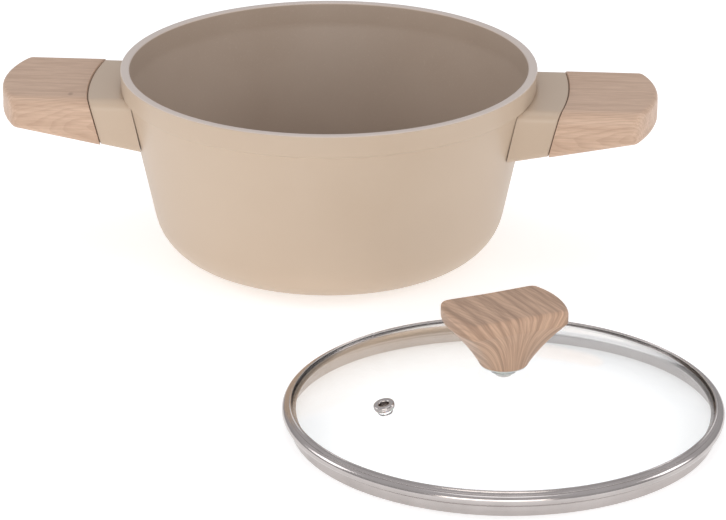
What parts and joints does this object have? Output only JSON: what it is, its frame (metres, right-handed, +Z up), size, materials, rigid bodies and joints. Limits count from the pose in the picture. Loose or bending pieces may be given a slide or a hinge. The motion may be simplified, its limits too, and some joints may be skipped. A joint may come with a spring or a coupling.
{
  "type": "cooking pot with glass lid",
  "caption": "Round cooking pot with flared walls and two flat side handles, and a domed glass lid with a steel rim, a steam vent and a flared knob.",
  "frame": {"origin": "centre of the underside of the pot's base, on the surface the pot and the lid stand on", "axes": "+Z up, +X along the line of the two handles, -Y towards the lid that lies beside the pot"},
  "size_m": [0.4358, 0.4998, 0.116],
  "materials": {
    "coating": "satin beige coating",
    "steel": "polished stainless steel",
    "spring_steel": "dull spring steel",
    "wood_effect": "heat-proof resin with a printed wood grain",
    "gasket": "dark heat-proof gasket",
    "silicone": "clear silicone",
    "brass": "machined brass",
    "glass": "clear tempered glass"
  },
  "bodies": {
    "pot": {"pot_shell": "coating", "induction_base_plate": "steel", "handle_bracket_right": "steel", "handle_neck_right": "coating", "seam_gasket_right": "gasket", "handle_grip_right": "wood_effect", "grip_screw_right_1": "steel", "grip_screw_right_2": "steel", "grip_washer_right_1": "spring_steel", "grip_washer_right_2": "spring_steel", "handle_bracket_left": "steel", "handle_neck_left": "coating", "seam_gasket_left": "gasket", "handle_grip_left": "wood_effect", "grip_screw_left_1": "steel", "grip_screw_left_2": "steel", "grip_washer_left_1": "spring_steel", "grip_washer_left_2": "spring_steel"},
    "lid": {"lid_glass": "glass", "lid_rim": "steel", "vent_eyelet": "steel", "vent_seal": "silicone", "lid_knob": "wood_effect", "knob_insert": "brass", "knob_seal_upper": "silicone", "knob_seal_lower": "silicone", "knob_washer": "steel", "knob_screw": "steel"}
  },
  "joints": [
    {"name": "lid_lift", "type": "slide", "parent": "pot", "child": "lid", "axis": [0, 0, 1], "range_m": [0, 0.15]}
  ]
}
